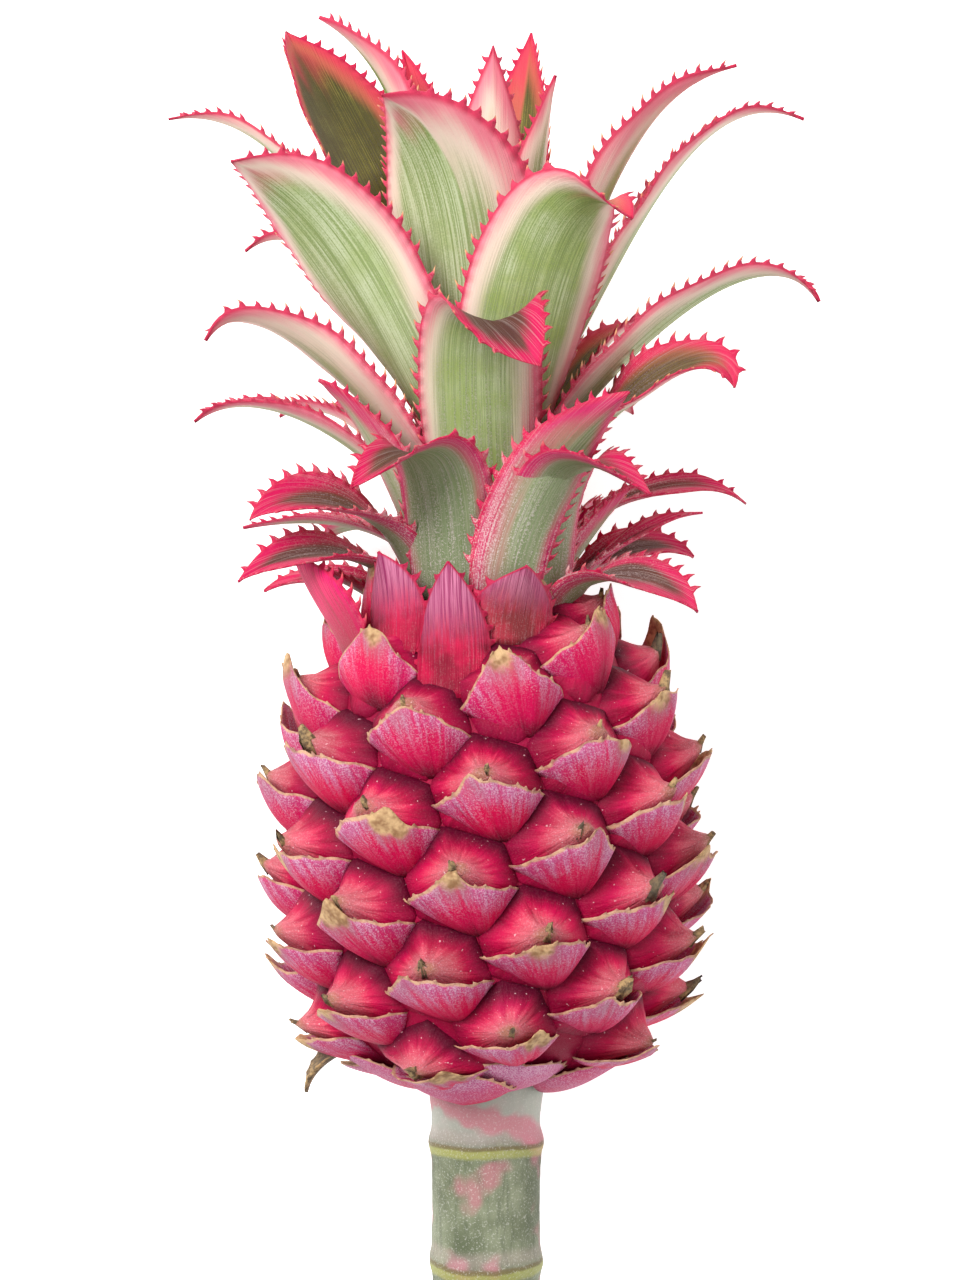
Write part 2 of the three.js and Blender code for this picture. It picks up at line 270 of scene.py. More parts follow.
CROWN_LEAVES = [
    crown_leaf(76, -12, 15, 25, -17, 102, (-10, 5), root=31.5, foot=0.9, lilac=1),
    crown_leaf(82, -42, 16, 28, -48, 104, (-5, 25), root=28, foot=0.6, lilac=1),
    crown_leaf(83, -72, 23, 39, -76, 104, (20, 20), root=28, magenta=1),
    crown_leaf(89, 150, 14, 38, 150, 97, (50, 90)),
    crown_leaf(89, 206, 14, 38, 208, 97, (50, 90)),
    crown_leaf(92, 55, 15, 46.6, 60, 92.3, (20, 135), pull=(1.3, 1), twist=25),
    crown_leaf(86, 12, 17, 29, 15, 101, (-5, 40), root=24, foot=0.6, taper=1.5, lilac=0.9),
    crown_leaf(95, -66, 13, 51, -70, 98.2, (28, 130), pull=(1.2, 1), twist=35),
    crown_leaf(92, -88, 8, 34, -90, 101, (45, 70), lilac=0.3),
    crown_leaf(94, -104, 8, 46.8, -104, 97, (45, 115), twist=35),
    crown_leaf(96, 178, 18, 45, 180, 106, (45, 100)),
    crown_leaf(97, 106, 12, 44.6, 107, 104, (42, 125), twist=40),
    crown_leaf(98, 92, 6, 44, 96, 112.8, (50, 85), twist=30),
    crown_leaf(92, 36, 19, 46, 42, 114, (10, 125), heading=75, pull=(2.2, 2), taper=2.6),
    crown_leaf(100, -60, 16, 50, -65, 110, (22, 135), pull=(1.3, 1), twist=40),
    crown_leaf(100, 124, 16, 34, 124, 117, (30, 45), magenta=1),
    crown_leaf(100, 72, 10, 29, 76, 117, (30, 40)),
    crown_leaf(101, 222, 18, 50, 224, 108, (35, 120)),
    crown_leaf(94, -24, 21, 42.7, -36, 115.4, (8, 130), heading=-80, pull=(2.4, 2), taper=2.6),
    crown_leaf(102, 152, 18, 48, 150, 113, (35, 115)),
    crown_leaf(104, -104, 8, 51, -103, 110, (45, 100)),
    crown_leaf(106, 94, 8, 53, 96, 114.6, (42, 128), twist=40),
    crown_leaf(104, -52, 12, 38, -58, 137, (26, 60)),
    crown_leaf(107, 188, 22, 46, 190, 128, (28, 110)),
    crown_leaf(94, 10, 17, 41, 41, 133.5, (8, 60), root=21, heading=75, blush=(0.6, 1.2)),
    crown_leaf(112, -80, 13, 58, -82, 130, (33, 130), twist=8),
    crown_leaf(112, -3, 26, 41, 14, 137.5, (12, 140), heading=60, pull=(2.5, 2.1), taper=3),
    crown_leaf(113, 236, 18, 50, 240, 134, (30, 115)),
    crown_leaf(114, 146, 20, 52, 142, 136, (30, 110)),
    crown_leaf(116, 62, 20, 53, 63, 135, (38, 170), pull=(1.05, 1.1), twist=42),
    crown_leaf(118, -72, 16, 57, -72, 144.8, (28, 150), twist=-15),
    crown_leaf(119, 200, 24, 48, 204, 158, (24, 100)),
    crown_leaf(122, 114, 18, 38, 110, 150, (22, 120)),
    crown_leaf(122, 74, 16, 66.2, 79, 153, (32, 150), pull=(1.1, 1)),
    crown_leaf(122, 22, 28, 46, 36, 165, (16, 135), heading=65, pull=(1.3, 1.25), belly=0.45, taper=3, twist=-10),
    crown_leaf(126, 168, 24, 46, 164, 176, (20, 80)),
    crown_leaf(126, -48, 26, 58.3, -55, 176.5, (38, 80), belly=0.5, taper=2.6, twist=-24),
    crown_leaf(128, -110, 12, 54, -112, 168, (30, 125)),
    crown_leaf(130, -135, 36, 49, -121, 215, (14, 30), heading=-110, belly=0.5, taper=3),
    crown_leaf(130, -20, 35, 38, -31, 189, (6, 75), heading=-50, belly=0.45, taper=2.4, blush=(1.2, 0.42)),
    crown_leaf(132, 86, 14, 63.5, 89, 191, (34, 115), twist=8),
    crown_leaf(134, 208, 22, 40, 214, 192, (14, 60)),
    crown_leaf(136, 70, 18, 50, 80, 200, (28, 80), taper=1.6),
    crown_leaf(136, -92, 14, 64.5, -95, 192.5, (38, 100)),
    crown_leaf(138, -82, 24, 34, -98, 212.8, (12, 60)),
    crown_leaf(144, 196, 14, 24, 226, 209, (8, 25)),
    crown_leaf(146, 62, 14, 15, 66, 198.6, (10, 14)),
    crown_leaf(146, 142, 22, 20, 152, 212.8, (9, 8)),
    crown_leaf(149, 8, 24, 10, 8, 203.6, (4, 8), belly=0.3, taper=1.4),
]


def stalk_radius(station):
    share = (station - STALK["base"]) / (STALK["tip"] - STALK["base"])
    return lerp(STALK["base_radius"], STALK["tip_radius"], share)


print(len(CROWN_LEAVES), "leaves in the crown")

# %% [markdown]
# ## Walking along a leaf
# A point on the spine is not enough to build a blade: the blade also needs to know which way is sideways and which way
# is towards the axis there. The sideways direction is set at the base and kept as level as the curve allows, and
# towards the axis is square to both. Steps of equal length keep the spines of the margin evenly spaced.

# %% The spine of a leaf
class Spine:
    def __init__(self, leaf, steps=48):
        base = place(leaf.get("root", stalk_radius(leaf["at"]) + LEAF_ROOT), leaf["turn"], leaf["at"])
        tip = place(leaf["reach"], leaf["tip_turn"], leaf["tip_at"])
        chord = (tip - base).length
        pull_base, pull_tip = leaf.get("pull", (1, 1))
        near = base + heading(leaf["lean"][0], leaf["turn"]) * chord * pull_base / 3
        far = tip - heading(leaf["lean"][1], leaf.get("heading", leaf["tip_turn"])) * chord * pull_tip / 3
        self.side = place(1, leaf["turn"] + 90, 0)
        self.points = [self.bezier(base, near, far, tip, step / steps) for step in range(steps + 1)]
        self.lengths = [0.0]
        for one, other in zip(self.points, self.points[1:]):
            self.lengths.append(self.lengths[-1] + (other - one).length)
        self.length = self.lengths[-1]

    @staticmethod
    def bezier(a, b, c, d, t):
        return a * (1 - t) ** 3 + b * 3 * t * (1 - t) ** 2 + c * 3 * t * t * (1 - t) + d * t ** 3

    def at(self, share):
        """The point, and the directions along, sideways and towards the axis, at a share of the length."""
        wanted = share * self.length
        step = max(1, next((i for i, length in enumerate(self.lengths) if length >= wanted), len(self.points) - 1))
        low, high = self.lengths[step - 1], self.lengths[step]
        before, after = self.points[step - 1], self.points[step]
        point = before.lerp(after, (wanted - low) / (high - low))
        ahead = self.points[min(step + 1, len(self.points) - 1)] - self.points[max(step - 2, 0)]
        along = ahead.normalized()
        side = (self.side - along * self.side.dot(along)).normalized()
        return point, along, side, along.cross(side)


USUAL_FOOT, USUAL_BELLY, USUAL_TAPER = 0.8, 0.4, 2


def width_share(share, leaf):
    """A broad foot, a belly and a pointed tip."""
    belly, foot = leaf.get("belly", USUAL_BELLY), leaf.get("foot", USUAL_FOOT)
    taper = leaf.get("taper", USUAL_TAPER)
    if share < belly:
        return lerp(foot, 1, math.sin(0.5 * math.pi * share / belly))
    return 1 - ((share - belly) / (1 - belly)) ** taper


longest = max(CROWN_LEAVES, key=lambda leaf: Spine(leaf).length)
print("longest leaf", round(Spine(longest).length, 1), "mm")

# %% [markdown]
# ## Spines along a margin
# The margins of the real leaves carry hooked spines that lean towards the tip. A spine could be a separate cone, but on
# the plant it is drawn out of the blade itself. So each spine is made from one edge of the margin: the edge is extruded
# and narrowed, then extruded again and closed to a point. The Solidify modifier later gives blade and spine their
# thickness together.

# %% Draw a spine out of an edge
NECK_WIDTH = 0.5
NECK_OUT, NECK_FORWARD = 0.45, 0.18
POINT_OUT, POINT_FORWARD = 0.85, 0.62


def draw_spine(bm, edge, outward, forward, length, layers):
    foot = (edge.verts[0].co + edge.verts[1].co) / 2
    neck = bmesh.ops.extrude_edge_only(bm, edges=[edge])["geom"]
    neck_ends = [item for item in neck if isinstance(item, bmesh.types.BMVert)]
    for end in neck_ends:
        end.co = foot.lerp(end.co, NECK_WIDTH) + outward * length * NECK_OUT + forward * length * NECK_FORWARD
        end[layers["edge"]] = -NECK_OUT * length
    neck_edge = next(item for item in neck if isinstance(item, bmesh.types.BMEdge) and
                     all(vert in neck_ends for vert in item.verts))
    point = bmesh.ops.extrude_edge_only(bm, edges=[neck_edge])["geom"]
    point_ends = [item for item in point if isinstance(item, bmesh.types.BMVert)]
    for end in point_ends:
        end[layers["edge"]] = -length
    tip = foot + outward * length * POINT_OUT + forward * length * POINT_FORWARD
    bmesh.ops.pointmerge(bm, verts=point_ends, merge_co=tip)


# %% [markdown]
# ## The blade
# A blade is one grid, wrapped on the centre line: its columns run across and its rows run along. The rows near the
# tip fall together and are merged. Attributes are written on the way: how far to the side a point is and how far from
# the margin, both in millimetres, how far along it is, and what kind of leaf it is on. The finishes read them, so that
# stripes run along the leaf and the pink rim follows its margin. A blade that would reach below the floor lies along
# it. The newest vertex after each spine is its point, and it gets the least flesh.

# %% Build a blade
FEWEST_ROWS, MOST_ROWS = 12, 76
SPINE_LENGTH = 3.0
MISSING_SPINES = 0.06
BARE_FOOT = 0.1  # no spines and no twist on this share of a leaf, at its base
ALL_RED, ALL_GREEN = 97, 120  # base stations between which leaves change from red to green
SPINE_FLESH = 0.05
BASE_CUP_LIMIT, USUAL_CUP = 1.2, 0.7
KEEL_DEPTH, KEEL_WIDTH = 0.25, 0.14


def blade(leaf, seed, columns, step_length=1.35, thickness=LEAF_THICKNESS):
    rng = random.Random(seed)
    spine = Spine(leaf)
    rows = max(FEWEST_ROWS, min(MOST_ROWS, round(spine.length / step_length)))
    bm = bmesh.new()
    bmesh.ops.create_grid(bm, x_segments=columns, y_segments=rows, size=1.0)
    layers = sheet_layers(bm, ("side", "edge", "along", "ripe", "lilac", "magenta", "tone"))
    flesh = bm.verts.layers.deform.verify()
    root = leaf.get("root", stalk_radius(leaf["at"]))
    cup_at_base = min(BASE_CUP_LIMIT, 0.5 * leaf["width"] * leaf.get("foot", USUAL_FOOT) / root)
    phase, tone = rng.uniform(0, 6.28), rng.uniform(0, 1)
    blush = leaf.get("blush", (rng.uniform(0.7, 1.3), rng.uniform(0.7, 1.3)))
    ripe = 1 - smooth(leaf["at"], ALL_RED, ALL_GREEN)
    margins = [[None] * (rows + 1) for _ in range(2)]
    places = {}
    for vert in bm.verts:
        across, raw = vert.co.x, (vert.co.y + 1) / 2
        share = raw * (1.18 - 0.18 * raw)
        row = round(raw * rows)
        if row not in places:
            places[row] = spine.at(share)
        point, along, side, inward = places[row]
        half = max(0.02, 0.5 * leaf["width"] * width_share(share, leaf))
        cup = lerp(cup_at_base, leaf.get("cup", USUAL_CUP), min(1, share / 0.4))
        wave = 0.35 * abs(across) ** 3 * math.sin(phase + share * spine.length / 3.1 + across)
        wave *= smooth(share, BARE_FOOT, 0.4)
        if share > BARE_FOOT:
            turned = math.radians(leaf.get("twist", 0)) * smooth(share, BARE_FOOT, 0.65)
            turned *= math.copysign(1, side.z)
            side, inward = (side * math.cos(turned) - inward * math.sin(turned),
                            inward * math.cos(turned) + side * math.sin(turned))
        co = point + side * half * math.sin(cup * across) / cup
        keel = KEEL_DEPTH * math.exp(-(across / KEEL_WIDTH) ** 2)
        co += inward * (half * (1 - math.cos(cup * across)) / cup + wave - keel)
        vert.co = co
        vert[layers["side"]] = across * half
        vert[layers["edge"]] = half * (1 - abs(across)) * blush[int(across > 0)]
        vert[layers["along"]] = share
        vert[layers["ripe"]] = ripe
        vert[layers["lilac"]] = leaf.get("lilac", 0)
        vert[layers["magenta"]] = leaf.get("magenta", 0)
        vert[layers["tone"]] = tone
        vert[flesh][0] = lerp(1.0, 0.25, max(abs(across) ** 2, smooth(share, 0.3, 1)))
        if abs(across) > 0.999:
            outward = side * math.copysign(math.cos(cup), across) + inward * math.sin(cup)
            margins[int(across > 0)][row] = (vert, outward, along, share)
    for margin in margins:
        for row in range(2 + rng.randrange(2), rows - 2, 2):
            one, other = margin[row][0], margin[row + 1][0]
            edge = next((item for item in one.link_edges if other in item.verts), None)
            _, outward, along, share = margin[row]
            if edge is None or share < BARE_FOOT or rng.random() < MISSING_SPINES:
                continue
            size = leaf.get("spines", 1) * SPINE_LENGTH * min(1.0, 0.35 + leaf["width"] / 26)
            size *= lerp(1.0, 0.5, share) * rng.uniform(0.7, 1.2) * smooth(share, 0.0, 0.2)
            draw_spine(bm, edge, outward, along, size, layers)
            bm.verts.ensure_lookup_table()
            bm.verts[-1][flesh][0] = SPINE_FLESH
    for vert in bm.verts:
        vert.co.z = pressed(vert.co.z, -AXIS_HEIGHT + 0.5 * thickness)
    bmesh.ops.remove_doubles(bm, verts=bm.verts, dist=0.03)
    bmesh.ops.dissolve_degenerate(bm, dist=0.01, edges=bm.edges)
    middle = min(bm.faces, key=lambda face: (face.calc_center_median() - places[rows // 2][0]).length)
    if middle.normal.dot(places[rows // 2][3]) > 0:
        bmesh.ops.reverse_faces(bm, faces=bm.faces)
    return bm


# %% [markdown]
# ## Leaf finishes
# The outer face of an upper leaf is pale sage green with fine darker lines along it, then cream, pink and at last a
# crimson rim with crimson spines whose points are cream. Its inner face is dark olive with a salmon rim. Lower leaves
# are redder: their inner faces are crimson with a dark middle. The short bracts are lilac over a crimson base, or
# bright magenta. White scurf and fine pale lines dust the lower leaves. Both finishes are one recipe with different
# colours, so a function makes them, and all of it follows the attributes of the blade.
#
# Rim_start is how far from the margin the pink begins, in millimetres. Ripening says how fast a finish turns red
# towards the lower leaves, and middle_share how strongly their middle changes with it.

# %% Leaf finishes
def leaf_finish(name, middle, middle_dark, deep, middle_ripe, rim, rim_ripe, rim_start, cream, ripening, middle_share):
    leaf = Finish(name, ior=1.42, specular_ior_level=0.3)
    side, edge, along = leaf.attribute("side"), leaf.attribute("edge"), leaf.attribute("along")
    ripe, lilac, magenta, tone = (leaf.attribute(key) for key in ("ripe", "lilac", "magenta", "tone"))
    ripe = (ripe * ripening).clamped()
    place_on = leaf.place()
    lines = leaf.noise(leaf.vector(side * 3.1, along * 1.3, tone * 40), 1.0, 3.0, 0.7)
    patches = leaf.noise(place_on, 95.0, 3.0, 0.6)
    drift = leaf.noise(leaf.vector(side * 0.22, along * 2.5, tone * 23 + 5), 1.0, 2.0)
    grain = leaf.noise(place_on, 3000.0, 2.0, 0.7)
    reach = edge + (drift - 0.5) * 5 + (lines - 0.5) * 1.6

    green = leaf.mix((patches + (tone - 0.5) * 0.4).rise(0.35, 0.7), middle, middle_dark)
    green = leaf.mix((lines + (grain - 0.5) * 0.3).rise(0.4, 0.6), green, leaf.mix(0.5, middle_dark, deep))
    green = leaf.mix(ripe * middle_share, green, middle_ripe)
    green = leaf.mix((along + (drift - 0.5) * 0.4).rise(0.82, 1.05) * 0.9, green, leaf.mix(ripe, rim, rim_ripe))
    pale = leaf.mix(reach.rise(rim_start + 4.8, rim_start + 0.8) * (1 - ripe * 0.92), green, cream)
    pink = leaf.mix((reach - ripe * 0.7).rise(rim_start + 1.6, rim_start - 1.6), pale, leaf.mix(ripe, rim, rim_ripe))
    lilac_skin = leaf.mix(lines.rise(0.38, 0.62), (204, 120, 154), (146, 44, 92))
    crimson_base = leaf.mix(patches.rise(0.35, 0.65), (132, 0, 40), (196, 0, 66))
    lilac_skin = leaf.mix((along + (lines - 0.5) * 0.8).rise(0.8, 0.3), lilac_skin, crimson_base)
    pink = leaf.mix(lilac, pink, lilac_skin)
    magenta_skin = leaf.mix(lines.rise(0.4, 0.7), (228, 4, 104), (176, 2, 68))
    magenta_skin = leaf.mix((along + (lines - 0.5) * 0.4).rise(0.6, 0.1) * 0.6, magenta_skin, (148, 0, 48))
    pink = leaf.mix(magenta * 0.9, pink, magenta_skin)
    rimmed = leaf.mix(edge.rise(0.9, 0.2) * 0.85, pink, leaf.mix(grain, (208, 30, 80), (178, 12, 58)))
    spined = leaf.mix(edge.rise(-0.9, -2.0) * (1 - ripe * 0.8) * 0.8, rimmed, (226, 178, 120))

    dusted = along.rise(0.9, 0.1) * (0.4 + ripe * 0.6) * (1 - lilac * 0.85) * (1 - magenta * 0.85)
    scurf = (grain * 0.5 + lines * 0.5).rise(0.5, 0.6) * dusted
    skin = leaf.mix(scurf * 0.6, spined, (222, 208, 205))
    # Painted shade: greyish brown towards the base of each leaf, where the leaves crowd together in the crown; the
    # lilac bracts are left out.
    skin = leaf.mix(along.rise(0.2, 0.0) * 0.35 * (1 - lilac), skin, (96, 70, 62))
    fine = leaf.noise(leaf.vector(side * 6, along * 2, tone * 31), 1.0, 2.0, 0.6)
    skin = leaf.mix(fine.rise(0.48, 0.66) * ripe * 0.22 * (1 - magenta) * (1 - lilac), skin, (210, 196, 190))
    relief = lines * (lilac * 1.6 + 0.7) + grain * 0.25
    return leaf.connect(
        base_color=skin,
        roughness=0.42 + grain * 0.25 + scurf * 0.15,
        normal=leaf.bump(relief, 0.00035, 0.7),
    )


leaf_outer = leaf_finish(
    "leaf_outer", middle=(188, 198, 158), middle_dark=(154, 172, 100), deep=(88, 114, 60), middle_ripe=(92, 110, 68),
    rim=(222, 118, 134), rim_ripe=(190, 36, 92), rim_start=1.9, cream=(224, 202, 184), ripening=1.0, middle_share=0.72)
leaf_inner = leaf_finish(
    "leaf_inner", middle=(126, 122, 54), middle_dark=(88, 84, 36), deep=(44, 44, 20), middle_ripe=(78, 36, 40),
    rim=(206, 56, 78), rim_ripe=(194, 4, 78), rim_start=2.2, cream=(188, 92, 74), ripening=8.0, middle_share=0.85)
print("leaf finishes", leaf_outer.name, leaf_inner.name)

# %% [markdown]
# ## Building the crown
# Now every row becomes a piece. A broad leaf gets more columns than a narrow one, so that its hollow stays round. The
# first 24 leaves are the short red ones and the bracts, and the rest are green.

# %% Build the crown
BROAD_LEAF = 18

crown_faces = 0
for number, leaf in enumerate(CROWN_LEAVES, 1):
    columns = 12 if leaf["width"] >= BROAD_LEAF else 8
    bm = blade(leaf, seed=100 + number, columns=columns)
    crown_faces += len(bm.faces)
    finish_piece(f"leaf_{number:02d}", bm, [leaf_outer, leaf_inner], [f"crown_leaf_{number:02d}"],
                 LEAF_THICKNESS)
print("crown", crown_faces, "faces before thickness")

# %% [markdown]
# ## The lattice of the fruit
# The fruitlets sit on a spiral: each one is turned 137.85 degrees from the last and a little further down. Nothing
# else is needed for the pattern of a pineapple. What each fruitlet does need is its room. Its neighbours on the spiral
# are worked out in the flat sheet of its own place, and the line halfway to a neighbour is its boundary, so the valleys
# between fruitlets come out where they do on the plant, and they close up by themselves towards both ends. The spiral
# also runs a few cells further up than in the plain fruit, which closes the gap under the crown. The cell just above
# the first is left out, because the middle lilac bract grows there.

# %% The lattice
CORE_PROFILE = [(0.3, 13), (4, 22), (10, 28.5), (20, 33), (34, 35.6), (50, 36), (64, 34.6), (76, 31), (85, 25.5),
                (91, 19.5), (97, 15.6)]
FRUITLET_COUNT = 62
TOP_CELLS = 7
FRUITLET_TURN, FRUITLET_PITCH = 137.85, 1.34
FIRST_TURN, FIRST_STATION = 123.0, 86.4


def core_radius(station):
    if station >= CORE_PROFILE[-1][0]:
        return stalk_radius(station)
    station = max(station, CORE_PROFILE[0][0])
    for (low, low_radius), (high, high_radius) in zip(CORE_PROFILE, CORE_PROFILE[1:]):
        if station <= high:
            share = (station - low) / (high - low)
            return lerp(low_radius, high_radius, share)


MIDDLE_RADIUS = 36
LARGEST_ROOM = 13.0
NEIGHBOUR_STEPS = (3, 5, 8, 13, 21)  # along the spiral to the cells that touch this one
TILT_BELOW, TILT_ABOVE = 0.55, 0.9  # how much of the core's slope the fruitlets follow, under and over the middle


class Cell:
    """The room of one fruitlet: a sheet with sideways a and crownward b, both in millimetres."""

    def __init__(self, index):
        self.index = index
        self.turn = FIRST_TURN + FRUITLET_TURN * index
        self.station = FIRST_STATION - FRUITLET_PITCH * index
        self.radius = core_radius(self.station)
        self.slope = (core_radius(self.station + 4) - core_radius(self.station - 4)) / 8
        self.stretch = math.hypot(1, self.slope)
        self.tilt = self.slope / self.stretch * (TILT_BELOW if self.slope > 0 else TILT_ABOVE)
        self.size = 0.45 + 0.55 * self.radius / MIDDLE_RADIUS
        self.neighbours = []
        for step in NEIGHBOUR_STEPS:
            turn = math.radians((FRUITLET_TURN * step + 180) % 360 - 180)
            vector = Vector((turn * self.radius, -FRUITLET_PITCH * step * self.stretch))
            self.neighbours += [vector, -vector]

    def room(self, degrees):
        """How far the cell reaches in one direction of its sheet."""
        way = Vector((math.cos(math.radians(degrees)), math.sin(math.radians(degrees))))
        return min([LARGEST_ROOM] + [n.length_squared / 2 / n.dot(way) for n in self.neighbours if n.dot(way) > 0.5])

    def at(self, a, b, height):
        station = self.station + b / self.stretch
        radius = core_radius(station)
        turn = self.turn + math.degrees(a / max(radius, 8.0))
        return place(radius + height * math.sqrt(1 - self.tilt ** 2), turn, station - height * self.tilt)


LEFT_OUT_CELL = -1
cells = [Cell(index) for index in range(-TOP_CELLS, FRUITLET_COUNT) if index != LEFT_OUT_CELL]
print("middle cell", round(cells[30].room(0) + cells[30].room(180), 1), "by",
      round(cells[30].room(90) + cells[30].room(-90), 1), "mm")

# %% [markdown]
# ## A fruitlet's dome
# Seen by itself a fruitlet is a fleshy dome that fills its room and runs out into a short beak, which hooks towards
# the crown. A sphere would have its poles in the wrong place, so the dome starts as a square grid. The grid's square
# rings become rings of the cell, the outermost lies just under the core's surface, and the open underside is filled.
# Five attributes go with it: the ring, which tells the eye from the valley, a tone that differs by fruitlet, the upper
# side, which is in shade, and two for the way from the eye, along which wrinkles run.

# %% Build the domes
DOME_GRID = 18
BEAK, BEAK_HOOK = 9.4, 3.6
DOME_SHARE, BEAK_SHARE = 0.68, 0.32
CREASES, CREASE_DEPTH, CREASE_WIDTH = (90, 38, 142), 0.85, 7
BURIED = -1.2


def hook(height, size):
    """How far a point at this height leans towards the crown."""
    return BEAK_HOOK * size * max(0.0, height / (BEAK * size)) ** 1.7


def dome(cell, rng):
    bm = bmesh.new()
    bmesh.ops.create_grid(bm, x_segments=DOME_GRID, y_segments=DOME_GRID, size=1.0)
    layers = sheet_layers(bm, ("ring", "tone", "upper", "way_x", "way_y"))
    peak = Vector((rng.uniform(-0.8, 0.8), rng.uniform(-1.0, 0.2)))
    tone, seed = rng.random(), Vector((rng.uniform(0, 90), rng.uniform(0, 90), 0))
    for vert in bm.verts:
        x, y = vert.co.x, vert.co.y
        ring = max(abs(x), abs(y))
        angle = math.atan2(y, x)
        degrees = math.degrees(angle)
        edge = Vector((math.cos(angle), math.sin(angle))) * (cell.room(degrees) + 0.7)
        flat = peak.lerp(edge, ring ** 0.9)
        height = BEAK * cell.size * (DOME_SHARE * (1 - ring ** 1.45) + BEAK_SHARE * math.exp(-(ring / 0.24) ** 2))
        for crease in CREASES:
            height -= CREASE_DEPTH * math.exp(-((degrees - crease) / CREASE_WIDTH) ** 2) * 4 * ring * (1 - ring)
        height += 0.5 * noise.noise(Vector((flat.x, flat.y, 0)) * 0.22 + seed) * (1 - ring)
        height -= 2.6 * smooth(-flat.y, 0.5, 6) * (1 - ring)
        if ring > 0.999:
            height = BURIED
        vert.co = cell.at(flat.x, flat.y + hook(height, cell.size), height)
        vert.co.z = pressed(vert.co.z)
        vert[layers["ring"]] = ring
        vert[layers["way_x"]] = math.cos(angle) * min(1, ring * 5)
        vert[layers["way_y"]] = math.sin(angle) * min(1, ring * 5)
        vert[layers["tone"]] = tone
        vert[layers["upper"]] = smooth(flat.y, -2, 6)
    bmesh.ops.holes_fill(bm, edges=[edge for edge in bm.edges if edge.is_boundary], sides=0)
    bmesh.ops.recalc_face_normals(bm, faces=bm.faces)
    return bm


domes = bmesh.new()
rng = random.Random(7)
for cell in cells:
    add_to(domes, dome(cell, rng))
print("domes", len(domes.faces), "faces")

# %% [markdown]
# ## The core
# Between the domes the core shows as a dark line of painted shade, since its ring of 1 takes the full valley shade of
# the fruit's finish, and above the fruit it runs on into the crown as the stalk that carries the leaves. It is a body
# of revolution, so its outline is spun about the axis.

# %% Spin the core
def spun(profile, steps):
    """Spins an outline of (station, radius) about the axis; it starts and ends on the axis."""
    bm = bmesh.new()
    outline = [bm.verts.new((radius, station, 0)) for station, radius in profile]
    edges = [bm.edges.new(pair) for pair in zip(outline, outline[1:])]
    bmesh.ops.spin(bm, geom=outline + edges, cent=(0, 0, 0), axis=(0, 1, 0), angle=2 * math.pi, steps=steps,
                   use_merge=True)
    bmesh.ops.remove_doubles(bm, verts=bm.verts, dist=0.001)
    bmesh.ops.recalc_face_normals(bm, faces=bm.faces)
    return bm


core = spun([(0.3, 0)] + CORE_PROFILE + [(STALK["tip"], STALK["tip_radius"]), (STALK["tip"] + 1, 0)], 48)
# A ring of 1 gives the whole core the painted valley shade of the fruit's finish.
ring = core.verts.layers.float.new("ring")
for vert in core.verts:
    vert[ring] = 1.0
print("core", len(core.faces), "faces")

# %% [markdown]
# ## The bract under each fruitlet
# Under each beak sits a bract: a sheet that rises from the valley below, wraps the lower half of the fruitlet and ends
# in a free, wavy margin with a papery rim and a dry point in its middle. It is a grid again. Its lower row is gathered
# in the valley, its upper row is the margin, and small spines are drawn out of that margin. How far the dry point
# stands up, how dry it is and where it sits are drawn at random for each bract. The topmost bracts are the longest.

# %% Build the bracts
BRACT_COLUMNS, BRACT_ROWS = 30, 10
BRACT_OVERLAP = 1.02
BRACT_FLOOR = 0.35
BRACT_THICKNESS = 0.6
DRYNESSES = (0.4, 0.75, 1.1, 1.4)
POINTS = (0.3, 0.8, 1.4, 2.4, 3.2)
SPINED_SHARE = 0.45


